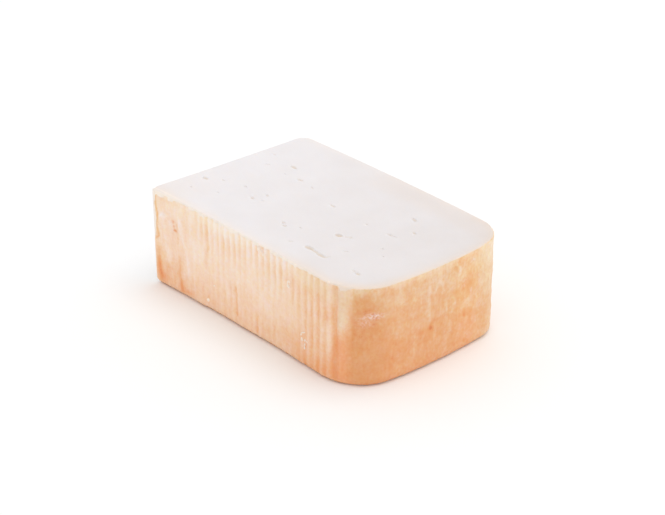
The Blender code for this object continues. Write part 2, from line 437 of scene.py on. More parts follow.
# %% Tell paste and rind apart
OPENING_MARGIN = 2.2  # mm from the rind within which there is no opening
END_DEPTH, TOP_DEPTH = 3.0, 5.0  # mm from the cut end and the top that openings reach
END_FOOT = 3.0  # mm above the underside without an opening


def inward(along, across):
    """How far a point lies inside the upright sides of the plain block, in mm."""
    length, width = LENGTH / MM, WIDTH / MM
    gap = np.minimum(np.minimum(along, length - along), np.minimum(across, width - across))
    for (x, y), radius in CORNER_RADII.items():
        from_x, from_y, round_ = abs(along - x / MM), abs(across - y / MM), radius / MM
        in_corner = (from_x < round_) & (from_y < round_)
        gap = np.where(in_corner, round_ - np.hypot(round_ - from_x, round_ - from_y), gap)
    return gap


along, across, down = skin_points = read_points()
facing_x, facing_y, facing_z = read(cheese.data.vertex_normals, "vector")
from_side = inward(along, across)
to_long_side = np.minimum(across, WIDTH / MM - across)
near_cut_end = (along < END_DEPTH) & (to_long_side > OPENING_MARGIN)
near_cut_end &= down < HEIGHT / MM - END_FOOT
in_opening = near_cut_end | ((from_side > OPENING_MARGIN) & (down < TOP_DEPTH))
ribbed = step(0.75, 0.95, np.abs(facing_y)) * ~in_opening
heel = np.maximum(step(0.5, 0.74, facing_x), step(0.5, 0.8, -facing_z)) * ~in_opening
cut_side = np.maximum(step(0.3, 0.8, facing_z), step(0.3, 0.8, -facing_x))
cut_side = np.maximum(cut_side, in_opening)
rind_side = 1.0 - cut_side
print("ribbed points", int(ribbed.sum()), "heel points", int(heel.sum()))

# %% [markdown]
# ## The sharp knife edges
#
# A remesh leaves every edge slightly cut off. The far edge and the cut end's edge are crisp on
# the real thing, so their points are pressed back out to where the block's edge was. Marking
# their edges as sharp keeps the smooth shading from running round them.

# %% Sharpen the far edge and the cut end's edge
CUT_OFF = 0.9  # mm that the remesh took off at most
sideways = np.hypot(facing_x, facing_y) + 1e-6
out_x, out_y = facing_x / sideways, facing_y / sideways
on_slope = (from_side < CUT_OFF) & (down < CUT_OFF) & (facing_z > 0.3) & (facing_z < 0.99)
crisp = np.maximum(step(1, 2.5, across) * step(0, -0.6, out_x), step(0.3, 0.7, out_y))
crisp *= on_slope * step(95, 91, along)
for out, axis in ((out_x, "X"), (out_y, "Y")):
    for sign in (1.0, -1.0):
        press(crisp * from_side * np.maximum(sign * out, 0.0), sign * MM, axis)
press(crisp * down, MM, "Z")
for edge in cheese.data.edges:
    edge.use_edge_sharp = all(crisp[index] > 0.5 for index in edge.vertices)
print("sharpened", int((crisp > 0.5).sum()), "points")

# %% [markdown]
# ## The bow of the sides
#
# A ripening cheese swells at its heel and sinks a little between the marks of the mat. The
# box's straight sides are bowed along their whole length, most in the middle. The knife was
# held a little askew at the cut end, so its near corner is pulled out, its far corner pushed
# in and its foot drawn in.

# %% Bow the sides
HEEL_BULGE, CUT_END_HOLLOW = 2.8 * MM, 0.3 * MM
NEAR_HOLLOW, FAR_BULGE = 1.3 * MM, 1.0 * MM
CUT_END_LEAN = 0.9 * MM
FAR_CORNER_SLUMP, SLUMP_REACH = 0.33 * MM, 10.0

share_x = np.clip(along / (LENGTH / MM), 0, 1)
share_y = np.clip(across / (WIDTH / MM), 0, 1)
share_down = np.clip(down / (HEIGHT / MM), 0, 1)
bow_x, bow_y = 4 * share_y * (1 - share_y), 4 * share_x * (1 - share_x)
press(bow_x * share_x, HEEL_BULGE, "X")
press(bow_x * (1 - share_x), CUT_END_HOLLOW, "X")
press(bow_y * share_y, FAR_BULGE, "Y")
press(bow_y * (1 - share_y), NEAR_HOLLOW, "Y")
press(1 - share_x, -TURNED_OUT, "X")
press(share_y * (1 - share_x), 2 * TURNED_OUT, "X")
press(share_down * (1 - share_x), CUT_END_LEAN, "X")
far_corner = spot((along, across), (LENGTH / MM, WIDTH / MM), (SLUMP_REACH, SLUMP_REACH))
for axis in "XY":
    press(far_corner, -FAR_CORNER_SLUMP, axis)
print("bowed to", [round(side / MM, 1) for side in cheese.dimensions], "mm")

# %% [markdown]
# ## The ribs
#
# The mat pressed its stalks into both broad faces. Seen from the cut end each rib is a
# little wider than the one before, and the first few only show as wider folds. The ribs are
# deepest near the top and towards the heel, and worn away in patches elsewhere.

# %% Press the ribs
FIRST_RIB, RIB_PITCH, RIB_PITCH_STEP = 1.2, 2.42, 0.0253
RIB_DEPTH = 0.42 * MM
RIB_WANDER = 0.22

wander = RIB_WANDER * cloud((13, 12, 40), 5, (along, down, across))
from_first = np.maximum(along + wander - FIRST_RIB, 0.0)
rib_count = (np.sqrt(RIB_PITCH**2 + 2 * RIB_PITCH_STEP * from_first) - RIB_PITCH) / RIB_PITCH_STEP
# One groove for every two ribs at first, and from about the tenth rib on one for each.
every_rib = 0.5 - 0.5 * np.cos(2 * np.pi * rib_count)
every_other = 0.5 + 0.5 * np.cos(np.pi * rib_count)
groove = every_other + step(18, 27, along) * (every_rib - every_other)

# Clear high up and at the heel, worn in patches, and fainter towards the cut end.
clear_high = step(19, 8, down)
clear_at_heel = step(70, 79, along)
worn = np.clip(0.8 + 0.6 * cloud((11, 8, 40), 9, (along, down, across)), 0.25, 1)
rib_strength = (0.25 + 0.75 * np.maximum(clear_high, clear_at_heel)) * worn * ribbed
rib_strength *= 0.4 + 0.6 * step(12, 34, along)
groove *= rib_strength
press(groove, -RIB_DEPTH)
print("there are", int(rib_count.max()), "ribs on each side")

# %% [markdown]
# ## The folds near the cut end
#
# Towards the cut end the mat lay in creases instead. Each is a crooked line down the near
# side: some are raised and pale, and brine has stained the others. Small pale veins lie the
# same way on the heel.

# %% Raise and sink the folds
# Points along and down, width, height and how much riper: negative is paler.
NEAR_FOLDS = (
    (
        ((1.9, 0.5), (1.5, 5), (2.4, 8.5), (1.5, 12.5), (2.6, 16.8), (1.2, 18)),
        0.45, -0.15, 0.3,
    ),
    (((5.2, 8), (6.2, 17), (8.2, 25)), 1.1, 0.22, -0.12),
    (((13.8, 6), (15, 12), (17.6, 19), (18.6, 28)), 0.9, 0.3, -0.14),
    (((12.4, 8), (13, 12), (12.8, 16)), 0.6, -0.12, 0.08),
    (((3.2, 20), (2.2, 27), (3, 33)), 1, -0.2, 0.12),
    (((13.4, 21), (13, 28), (14.4, 34)), 0.8, -0.18, 0.2),
    (((20.5, 2), (19.4, 9), (21.5, 16), (20.8, 30)), 0.9, 0.18, -0.08),
    (((27.4, 4), (28.4, 11), (26.8, 19)), 1, -0.1, 0.14),
    (((42.2, 21), (42.6, 31)), 0.6, -0.15, 0.22),
    (((39.6, 20), (39.8, 29)), 0.5, -0.12, 0.14),
    (((53.5, 27), (53, 33)), 0.6, -0.12, 0.14),
    (((3.8, 9), (5.2, 7.8), (6.6, 8.2), (7.6, 7.4)), 0.6, 0.3, -0.2),
)
# The same on the heel, by points across and down.
HEEL_VEINS = (
    (((30.6, 6.5), (30, 11), (31, 18.5)), 0.6, 0.2, -0.16),
    (((33, 9), (34.2, 6), (36.4, 6.4), (36, 10.5)), 0.5, 0.16, -0.12),
    (((38.4, 17.5), (37.8, 13.5), (40, 12), (41.8, 14.5), (41, 18.5)), 0.5, 0.18, -0.12),
    (((42.4, 2.2), (44.4, 5), (43.6, 6.6), (42, 5)), 0.5, 0.18, -0.16),
    (((33.4, 21), (33, 26)), 0.5, 0.12, -0.12),
    (((39.8, 21.5), (40.2, 25)), 0.5, 0.12, -0.18),
    (((20, 3), (22, 9), (21.4, 16)), 1, -0.12, 0.06),
)
near_half = step(0.65, 0.35, share_y)
near_side = ribbed * near_half
fold_stain = np.zeros_like(along)
for folds, columns, skin in (
    (NEAR_FOLDS, (along, down), near_side),
    (HEEL_VEINS, (across, down), heel * step(0.5, 0.8, facing_x)),
):
    for points, width, height, stain_and_shade in folds:
        crease = line(columns, points, width) * skin
        press(crease, height * MM)
        fold_stain += stain_and_shade * crease
print("there are", len(NEAR_FOLDS), "folds and", len(HEEL_VEINS), "veins")

# %% [markdown]
# ## The heel corner
#
# Where the ribbed face turns into the heel, the rind is folded into one soft groove. Beside
# it runs a smooth pale strip with a fat lump in it. All three follow the round of the corner,
# so they are placed by an angle round its middle.

# %% Press the fold and raise the lump
FOLD_ANGLE, FOLD_DEPTH = math.radians(22.0), 0.7 * MM
FOLD_WIDTH, FOLD_NEAR_WIDTH = 1.1, 0.8
LUMP_ANGLE, LUMP_HEIGHT, LUMP_WIDTH = math.radians(32.0), 0.9 * MM, 1.9
LUMP_DOWN, LUMP_LENGTH = 13.0, 5.0

heel_radius = CORNER_RADII[(LENGTH, 0.0)] / MM
corner_angle = np.arctan2(along - (LENGTH / MM - heel_radius), heel_radius - across)
at_corner = (along > LENGTH / MM - heel_radius) & (across < heel_radius)
at_corner = at_corner * rind_side * step(0.6, 0.3, -facing_z)
fold_wander = 0.5 * cloud((8, 8, 8), 2, (down, down, down))
fold_spread = FOLD_WIDTH * (1.0 + 0.6 * spot((down,), (19,), (3.5,)))
from_fold = (corner_angle - FOLD_ANGLE) * heel_radius + fold_wander
fold_spread = np.where(from_fold < 0.0, FOLD_NEAR_WIDTH, fold_spread)
fold = at_corner * step(-1, 2, down) * np.exp(-((from_fold / fold_spread) ** 2))
from_lump = (corner_angle - LUMP_ANGLE) * heel_radius / LUMP_WIDTH
lump = at_corner * np.exp(-from_lump**2 - ((down - LUMP_DOWN) / LUMP_LENGTH) ** 2)
turn = np.degrees(corner_angle) + 3 * cloud((2.2, 2.2, 4), 3)
strip = at_corner * step(23, 27, turn) * step(43, 31, turn)
press(fold, -FOLD_DEPTH)
press(lump, LUMP_HEIGHT)
print("the fold runs", round(float(down[fold > 0.5].max()), 1), "mm down")

# %% [markdown]
# ## The unevenness of the rind
#
# Nothing on a soft cheese is flat. Four cloud textures move the skin in and out: broad
# dimples and fine ones over all the rind, pits where mould has eaten at it, and a faint wave
# that the knife left on the cut faces. Round each opening the paste stands up in a low rim.

# %% Roughen the rind
# Along or across, down, half width, half height.
NEAR_MOULD = (10.6, 10.2, 1.9, 3.0)
HEEL_MOULD = (9.6, 10.2, 2.8, 1.8)
RIM_HEIGHT, RIM_WIDTH = 0.12 * MM, 0.5
IN_OPENING = 0.25  # mm past which a point in an opening no longer counts as its edge


def cloud_texture(name, size):
    texture = bpy.data.textures.new(name, "CLOUDS")
    texture.noise_scale = size
    texture.noise_depth = 2
    return texture


def mould(columns, place):
    """1 inside a patch of mould, with a ragged outline."""
    patch = spot(columns, place[:2], place[2:]) + 0.25 * cloud((1, 1, 1), 51)
    return step(0.3, 0.7, patch)


near_mould = mould((along, down), NEAR_MOULD) * near_side
heel_mould = mould((across, down), HEEL_MOULD) * heel
standing = rind_side * step(0.9, 0.5, -facing_z) * step(-2, 6, along)
# Where, height, size of a cloud, and the grey of it that leaves the skin in place.
for name, where, height, size, still in (
    ("dimples", standing, 0.7, 9.0, 0.5),
    ("fine dimples", standing, 0.35, 1.8, 0.5),
    ("pits", near_mould + heel_mould, 0.5, 0.8, 0.6),
    ("knife wave", cut_side, 0.15, 14.0, 0.65),
):
    press(where, height * MM, texture=cloud_texture(name, size * MM), mid_level=still)

inside_opening = in_opening & (np.minimum(down, along) > IN_OPENING)
nearest_opening, to_opening = nearest_to(inside_opening)
rim = step(0.5, 0.9, facing_z) * np.exp(-((to_opening / RIM_WIDTH) ** 2))
press(rim, RIM_HEIGHT, "Z")
keep_inside(cheese)
print("roughened to", [round(side / MM, 1) for side in cheese.dimensions], "mm")

# %% [markdown]
# ## Where the rind begins
#
# The knife draws a little paste over the edge of the rind, so the rind starts below a thin
# pale lip with a ragged lower border. At the cut end the same lip runs down the upright
# edge. On the far side there is no lip, and the rind reaches the top.

# %% Paint the rind
LIP_NEAR, LIP_ENDS, LIP_HEEL, LIP_FAR, LIP_CUT_END = 0.85, 0.25, 0.15, 0.0, 1.5
LIP_STRIP, STRIP_BLUR = 1.9, 1.6
# Along, half width, how much wider the lip is there.
LIP_PLACES = (
    (3.5, 3, 0.6), (14, 3, -0.6), (59, 1.4, -0.6), (64.8, 3.6, 0.8), (74, 2.5, 0.4),
)
LIP_STEPS = 1.3  # how much its width differs from groove to groove
LIP_BLUR, NEAR_BLUR, HEEL_BLUR = 0.35, 0.35, 0.75

ragged = cloud((3, 3, 6), 21)
ragged_fine = cloud((0.9, 0.9, 2), 22)
lip_middle = step(85, 78, along)
lip = toward(LIP_FAR, near_half, LIP_ENDS + (LIP_NEAR - LIP_ENDS) * lip_middle)
for middle, half_width, extra in LIP_PLACES:
    lip += extra * near_half * spot((along,), (middle,), (half_width,))
lip += LIP_STEPS * near_half * lip_middle * cloud((1.7, 1.7, 1.7), 24, [np.floor(rib_count)] * 3)
lip = toward(lip, step(0.5, 0.8, facing_x), LIP_HEEL)
lip = toward(lip * (1 + 0.45 * ragged + 0.3 * ragged_fine), strip, LIP_STRIP)
blur = LIP_BLUR + NEAR_BLUR * near_half * step(62, 50, along)
blur = toward(toward(blur, step(0.6, 0.9, facing_x), HEEL_BLUR), strip, STRIP_BLUR)
end_lip = LIP_CUT_END * (1 + 0.5 * ragged + 0.25 * ragged_fine)
end_lip *= 1 - 0.75 * step(15, 20, down)
below_lip = step(-1, 1, (down - lip) / blur)
beside_lip = step(-1, 1, (along - end_lip) / LIP_BLUR)
rind = rind_side * below_lip * np.maximum(beside_lip, step(0.5, 0.8, -facing_z))
# At the far end of the heel the rind reaches a little over the edge.
far_heel = step(88, 94, along) * step(52, 60, across) * step(1.2, 0.3, down)
over_edge = 0.8 * far_heel * step(0.8, 0.1, from_side + 0.4 * ragged_fine)
rind = np.maximum(rind, over_edge)
paint("rind", rind)

# %% [markdown]
# ## How ripe the rind is
#
# One map, ripeness, says how far the colour has gone from cream through peach and orange to
# brick. Brine gathers in the grooves and runs down, so grooves and the foot of the piece are
# riper, and the worn crests stay pale. Along the foot of the ribbed sides that darkening is
# partly painted shade. The heel is riper than the ribbed faces, most of all beside the folded
# corner. A second map, amber, says how yellow the rind is at the same stage of ripening: most
# under the lip, in the grooves and in patches of the heel.

# %% Add up the ripeness
mottle = cloud((7, 7, 6), 31)
mottle_fine = cloud((2.2, 2.2, 2.8), 32)
streaks = cloud((1.6, 40, 14), 33)

# On the ribbed sides: riper downwards, near the foot partly as painted shade, at both ends and in
# the grooves, paler on the crests.
on_ribs = 0.1 + 0.13 * step(0, 8, down) + 0.26 * step(12, 34, down)
on_ribs += 0.2 * step(62, 82, along) * step(-1, 1.5, down)
on_ribs += 0.06 * step(24, 3, along)
on_ribs += 0.18 * groove - 0.06 * rib_strength * (1 - every_rib)
on_ribs += 0.04 * streaks + 0.05 * mottle + 0.03 * mottle_fine

# On the heel: riper downwards and beside the folded corner, paler towards the far side.
on_heel = 0.325 + 0.155 * step(-0.5, 4, down) + 0.12 * step(4, 12, down)
on_heel += 0.06 * step(6, 12, down) + 0.1 * step(16, 24, down)
beside_corner = step(20, 6, across + 2 * mottle)
on_heel += (0.2 - 0.1 * step(14, 22, down)) * beside_corner
on_heel -= 0.1 * step(50, 54, across) + 0.09 * step(55, 61, across)
on_heel += 0.06 * mottle + 0.08 * mottle_fine + 0.03 * streaks
on_heel += 0.1 * cloud((1.1, 1.1, 1.3), 34)

ripeness_and_shade = np.maximum(toward(on_ribs, heel, on_heel) + fold_stain, 0.6 * over_edge)
print("the mean so far is", round(float(ripeness_and_shade.mean()), 3))

# %% Add the stains, pale patches and painted shade
# Along, down, half width, half height, and how much riper or paler.
NEAR_STAINS_AND_SHADE = (
    # The riper patches low near the cut end are partly stain and partly painted shade along the
    # foot.
    (2.4, 28, 1.2, 3, 0.26), (4.2, 31.6, 2.2, 2, 0.28), (6.5, 29, 3, 4, 0.06),
    (13.8, 32.6, 1.2, 3.4, 0.2), (17.2, 32.8, 2.4, 1, 0.22), (6.8, 2.2, 4.6, 1, 0.14),
    (12, 14, 8, 6, 0.06), (66, 6, 5, 4, 0.05), (38, 27, 6, 6, -0.06),
    (88.3, 20.5, 2.8, 7, -0.18), (87.5, 5.5, 2.8, 4.5, -0.07), (10.4, 8.9, 0.5, 0.5, 0.55),
    (10.8, 10.5, 0.5, 0.4, 0.45), (11.1, 11.8, 0.6, 0.4, 0.7), (12, 11.9, 0.4, 0.6, 0.5),
    (12.4, 9.8, 0.5, 0.9, 0.18), (8.4, 8.3, 0.4, 0.5, 0.15), (72, 8, 3, 3, 0.1),
    (84.5, 10, 1, 6, 0.12), (88, 12.8, 0.8, 3.2, 0.22), (89.5, 24, 3, 8, 0.08),
    (18, 2, 4.5, 2.2, 0.1), (24.5, 19.5, 3.6, 6.5, -0.09), (37, 2, 12, 3.5, -0.1),
    (80.5, 27, 4, 6, -0.1), (77, 10, 6, 6, -0.035), (63, 17.5, 7, 3, 0.045),
    # On the next line, the last two spots are partly stain and partly painted shadow beside the
    # first curl of crumbs.
    (66.5, 27.5, 3.5, 2.5, 0.045), (56.4, 1.2, 0.7, 0.9, 0.24), (53.6, 2.8, 0.6, 1.3, 0.2),
)
# The same on the heel, by across and down.
HEEL_STAINS = (
    (7.5, 6.5, 3, 3, 0.1), (22, 3, 7, 3.5, 0.15), (47, 3, 3, 3, 0.08),
    (31.2, 20.9, 0.8, 1.2, 0.18), (32.4, 20, 1.6, 2.6, 0.14), (27, 21.5, 1.6, 1.2, 0.12),
    (46.8, 22, 1.1, 0.9, 0.22), (43.8, 2, 2, 2, 0.14), (47.6, 11.5, 2.4, 3.4, 0.08),
    (8, 24, 4, 3, -0.12), (48, 18, 2.2, 1.8, -0.1), (5, 0.8, 2.8, 1.8, -0.14),
    (4.6, 17, 2, 5, 0.07), (7.5, 14, 3, 5, 0.06), (12.5, 10.5, 2.5, 4, -0.06),
    (15.8, 3, 3.2, 2.5, 0.06), (27.5, 1.5, 2.5, 1.5, -0.09), (30, 8, 4, 2.5, 0.06),
    (42.5, 3, 2.2, 3, 0.1), (48, 6, 4, 3.5, 0.04), (55, 4.5, 3, 2.5, 0.04),
    (41, 20, 4, 3.5, 0.06), (47.5, 22.5, 2.5, 1.5, -0.05), (50, 1.5, 3, 1.5, 0.05),
    (57.8, 11, 2.4, 5, -0.1), (42.6, 5.2, 0.6, 1, 0.14), (45.8, 12, 0.7, 0.8, 0.12),
    (58.5, 21, 2, 3.5, 0.06),
)
ripeness_and_shade += spots(NEAR_STAINS_AND_SHADE, HEEL_STAINS)

# At the folded corner: the pale strip, the brick-red foot below it, and the fold.
strip_end = down + 2 * mottle_fine + 0.4 * np.abs(turn - 31)
foot = at_corner * step(19, 24, turn) * step(16, 21, down + 2.5 * mottle_fine)
strip *= step(19, 13, strip_end)
ripeness_and_shade = toward(ripeness_and_shade, 0.9 * strip, 0.4 + 0.06 * step(3, 9, down) - 0.15 * lump)
ripeness_and_shade = toward(ripeness_and_shade, 0.75 * foot, 0.84)
fold_ripeness = 0.62 - 0.1 * spot((down,), (5,), (2.5,)) + 0.22 * step(14, 20, down)
ripeness_and_shade = toward(ripeness_and_shade, 0.85 * fold, fold_ripeness)
mould_spots = step(0.05, 0.35, cloud((0.8, 0.8, 0.9), 53))
ripeness_and_shade += (0.1 * near_mould + 0.16 * heel_mould) * mould_spots
paint("ripeness_and_shade", ripeness_and_shade)

# %% Paint the amber
# Along, down, half width, half height, and how much more amber.
NEAR_AMBER = (
    (16, 2, 18, 3, 0.2), (79, 2.5, 7, 5, 0.35), (1.6, 9, 1.2, 9, 0.6), (3, 25, 2.5, 5, 0.3),
)
# The same on the heel, by across and down.
HEEL_AMBER = (
    (47, 11, 4.5, 6, 0.45), (43, 2, 3.5, 3, 0.4), (40, 14, 4, 4, 0.2), (30, 1, 10, 2.5, 0.15),
    (52, 5, 8, 4, 0.2), (4.5, 4, 3.5, 5, 0.1), (46, 19, 6, 5, 0.2), (5.5, 18, 4, 5, 0.12),
    (33, 22, 5, 3, 0.2),
)

amber = 0.3 + 0.3 * (groove - 0.3 * rib_strength) + 0.8 * fold_stain
amber += heel * (0.18 + 0.15 * step(36, 44, across)) + 0.5 * over_edge
amber += 0.08 * mottle + 0.12 * cloud((3.2, 3.2, 3.6), 35)
amber += spots(NEAR_AMBER, HEEL_AMBER)
paint("amber", amber)

# %% [markdown]
# ## The other maps
#
# Two more belong to the rind: bloom, the white and pinkish dust where it is mouldy, and gold,
# which dulls the rind: partly the more golden tone that most of the heel has, and partly painted
# shade where the rind turns towards the camera. Four belong to the paste, which has ripened to
# cream beside the rind: fat is the broad soft band of that, and warm the narrow border and the
# lip. Deep is painted shade inside the openings, warm and darker with depth, and smear a painted
# highlight of pale paste on their near rims.

# %% Paint the bloom, and the gold with its painted shade
# Along, down, half width, half height, strength.
NEAR_BLOOM = (
    (5.4, 8.3, 1.1, 0.7, 0.8), (9.4, 10.4, 1.5, 3, 0.55), (56, 2, 1.8, 1.6, 0.6),
    (76.6, 26.5, 2.4, 2.4, 0.3),
)
# The same on the heel, by across and down.
HEEL_BLOOM = (
    (9.6, 10.1, 2.4, 1, 0.8), (6.8, 12.2, 2, 1.8, 0.4), (50.5, 3.6, 1, 1, 0.6),
    (44.3, 5, 0.6, 1.4, 0.8), (49.8, 14, 0.6, 0.9, 0.6), (42.3, 16.2, 0.4, 1.2, 0.5),
)

bloom = spots(NEAR_BLOOM, HEEL_BLOOM)
dust = step(0, 0.5, cloud((4, 4, 4), 41))
bloom += heel * dust * (0.06 + 0.12 * step(30, 40, across))
paint("bloom", bloom)

# Over the heel, most beside the folded corner and along the top edge, least past the middle.
# A little on the end of the ribbed side too. Beside the folded corner, on the pale strip and on
# the end of the ribbed side it is painted shade, where the rind turns towards the camera.
gold_and_shade = heel * (0.54 - 0.22 * step(3.5, 1, down) - 0.35 * step(38, 48, across))
gold_and_shade += 0.45 * heel * step(18, 6, across + 3 * mottle)
gold_and_shade += heel * (0.28 * step(49, 57, across) + 0.25 * step(1.6, 0.2, down))
gold_and_shade += 0.35 * near_side * step(70, 84, along) * step(10, 3, down)
gold_and_shade += 0.18 * near_side * step(50, 62, along)
gold_and_shade = toward(gold_and_shade, strip, 0.8)
paint("gold_and_shade", gold_and_shade)

# %% Paint the maps of the paste
FAT_REACH, WARM_REACH, CORNER_REACH = 2.7, 1.5, 1.2
LINE_PLACE, LINE_WIDTH = 1.1, 0.35  # a warm line along the near edge, close to the cut end
DEEP_FROM, HIGHLIGHT_WIDTH = 0.55, 0.3  # mm

# Fat: along the near border, most towards its two ends, and on round the heel.
to_border = np.where(along < 20, across, from_side)
by_length = 0.4 + 0.3 * step(32, 14, along) + 0.6 * step(60, 76, along)
by_width = 0.4 + 0.6 * step(22, 12, across)
fat = np.where(along > 85, by_width, by_length * near_half)
fat *= np.exp(-((to_border / FAT_REACH) ** 2))
# Then broad bands at the near corner of the cut end and along the far border.
fat += 0.55 * np.exp(-((across / 18) ** 2)) * step(20, 6, along)
fat += 0.45 * step(35, 50, along) * step(14, 6, WIDTH / MM - across)
paint("fat", fat)

# Warm: a narrow border beside the rind, wider round the folded corner, and all of the lip.
to_rind = nearest_to((rind > 0.5) & (down < HEIGHT / MM - 1))[1]
warm = np.exp(-to_rind / WARM_REACH) * (0.3 + 0.25 * near_half + 0.15 * step(0.5, 1, share_x))
to_corner = np.hypot(along - LENGTH / MM + 7, across - 6)
warm += 0.3 * np.exp(-to_rind / CORNER_REACH - (to_corner / 8) ** 2)
edge_line = step(0.5, 0.9, facing_z) * step(15, 10, along)
warm += 0.35 * edge_line * spot((across,), (LINE_PLACE,), (LINE_WIDTH,))
on_lip = step(0.97, 0.7, facing_z) * (facing_x > -0.3) * ~in_opening
paint("warm", toward(warm, on_lip, 0.85 + 0.3 * ragged_fine))
# Painted shade inside the openings, warm and darker with depth.
paint("deep", in_opening * step(0.0, DEEP_FROM, np.minimum(down, along)))
# A painted highlight on the near rim of each opening.
paint("rim_highlight", rim * step(0.0, HIGHLIGHT_WIDTH, nearest_opening[1] - across))

# %% [markdown]
# ## The finishes
#
# Paste and rind are two finishes of one material, mixed by the painted map of the rind.
# Each finish is a node group, because the crumbs use the paste as well, and a third group
# gives both a fine grain. The colours below are in linear light. Most are the surface's own, but
# the paste's colours inside the openings and on their near rims are painted shade and a painted
# highlight, and the rind's gold tint is partly painted shade.

# %% Helpers for nodes
NOISE_DETAIL = 3.0


def new_node(tree, kind, inputs=None, **settings):
    """Adds a node with these inputs and settings."""
    node = tree.nodes.new("ShaderNode" + kind)
    for name, value in settings.items():
        setattr(node, name, value)
    set_inputs(node, inputs or {})
    return node


def new_group(name, numbers, result, kind):
    """An empty group with these number inputs and one result, and the nodes at its ends."""
    group = bpy.data.node_groups.new(name, "ShaderNodeTree")
    for number in numbers:
        group.interface.new_socket(number, in_out="INPUT", socket_type="NodeSocketFloat")
    group.interface.new_socket(result, in_out="OUTPUT", socket_type="NodeSocket" + kind)
    start, end = group.nodes.new("NodeGroupInput"), group.nodes.new("NodeGroupOutput")
    return group, start.outputs, end


def own_place(tree):
    """The place on the piece itself, so that a pattern moves along with it."""
    return new_node(tree, "TexCoord").outputs["Object"]


def noise_node(tree, place, size):
    """A cloud pattern with patches about this size in metres."""
    inputs = {"Vector": place, "Scale": 1.0 / size, "Detail": NOISE_DETAIL}
    return new_node(tree, "TexNoise", inputs).outputs["Fac"]


def math_node(tree, operation, *values):
    """Works out a number from these values."""
    return new_node(tree, "Math", dict(enumerate(values)), operation=operation).outputs[0]


def waver(tree, place, size, strength):
    """A cloud pattern from minus to plus half its strength."""
    pattern = noise_node(tree, place, size)
    return math_node(tree, "MULTIPLY_ADD", pattern, strength, -strength / 2)


def between(tree, share, first, second):
    """Goes from the first number to the second with the share."""
    return math_node(tree, "MULTIPLY_ADD", share, second - first, first)


def range_node(tree, value, start, end, kind="LINEAR"):
    """Rises from 0 at start to 1 at end."""
    inputs = {"Value": value, "From Min": start, "From Max": end}
    return new_node(tree, "MapRange", inputs, interpolation_type=kind).outputs["Result"]


def mix(tree, share, first, second, blend="MIX"):
    """Mixes two colours. The share is how much of the second there is."""
    inputs = {0: share, 6: first, 7: second}
    return new_node(tree, "Mix", inputs, data_type="RGBA", blend_type=blend).outputs[2]


print("a cloud pattern has detail", NOISE_DETAIL)

# %% The paste's colour
WHITE_PASTE = (0.845, 0.812, 0.822)
RIPE_PASTE = (0.758, 0.710, 0.698)
CREAM_PASTE = (1.00, 0.88, 0.77)
RIPE_CREAM = (0.86, 0.72, 0.60)
# Painted shade inside the openings.
SHADE_IN_OPENINGS = (0.77, 0.675, 0.585)
# A painted highlight on the near rims of the openings.
HIGHLIGHT_PASTE = (0.915, 0.895, 0.905)
FAT_TINT = (0.985, 0.925, 0.865)
ASLANT = 0.5  # how far the white ripens aslant, not straight towards the heel
DRIFT_SIZE, DRIFT = 16 * MM, 0.8
HEEL_CREAM_FROM, HEEL_CREAM_TO = 30 * MM, 5 * MM  # before the heel
PASTE_MAPS = ("Fat", "Warm", "Deep", "Rim_highlight")

paste, paste_in, paste_out = new_group("paste colour", PASTE_MAPS, "Colour", "Color")
place = own_place(paste)
x, y, _ = new_node(paste, "SeparateXYZ", {"Vector": place}).outputs
aslant = math_node(paste, "MULTIPLY_ADD", y, ASLANT, x)
to_heel = range_node(paste, aslant, low.x + ASLANT * low.y, high.x + ASLANT * high.y)
ripe = math_node(paste, "ADD", to_heel, waver(paste, place, DRIFT_SIZE, DRIFT))
at_heel = range_node(paste, x, high.x - HEEL_CREAM_FROM, high.x - HEEL_CREAM_TO)
cream = mix(paste, at_heel, CREAM_PASTE, RIPE_CREAM)
colour = mix(paste, ripe, WHITE_PASTE, RIPE_PASTE)
colour = mix(paste, paste_in["Fat"], colour, FAT_TINT, "MULTIPLY")
colour = mix(paste, paste_in["Warm"], colour, cream)
# Painted shade inside the openings.
colour = mix(paste, paste_in["Deep"], colour, SHADE_IN_OPENINGS)
# A painted highlight on the near rims of the openings.
colour = mix(paste, paste_in["Rim_highlight"], colour, HIGHLIGHT_PASTE)
set_inputs(paste_out, {"Colour": colour})
print("the paste group has", len(paste.nodes), "nodes")

# %% The rind's colour
RIND_COLOURS = (
    (0.00, (1.000, 0.870, 0.775)),
    (0.16, (0.985, 0.795, 0.665)),
    (0.32, (0.965, 0.710, 0.545)),
    (0.47, (0.925, 0.620, 0.430)),
    (0.62, (0.900, 0.515, 0.305)),
    (0.78, (0.885, 0.425, 0.215)),
    (0.92, (0.870, 0.350, 0.150)),
    (1.00, (0.770, 0.245, 0.100)),
)
PINK_TINT, AMBER_TINT = (1.0, 0.995, 1.060), (1.0, 1.010, 0.820)
# Gold dulls the rind, most in red: partly the heel's own golden tone, partly painted shade.
GOLD_AND_SHADE_TINT = (0.88, 0.935, 0.90)
BLOOM_COLOUR = (0.93, 0.78, 0.74)
DRAWN_OUT = 0.2  # the third cloud below is stretched upright, by one over this
UNEVEN_RIPENESS, UNEVEN_AMBER = 0.75, 1.2
OTHER_SIZE, OTHER_AMBER = 1.4 * MM, 1.3
FLECK_SIZE, FLECK_RANGE = 0.75 * MM, (0.44, 0.62)
FLECKS, BETWEEN_FLECKS = 0.85, 0.25
RIND_MAPS = ("Ripeness_and_shade", "Amber", "Gold_and_shade", "Bloom")

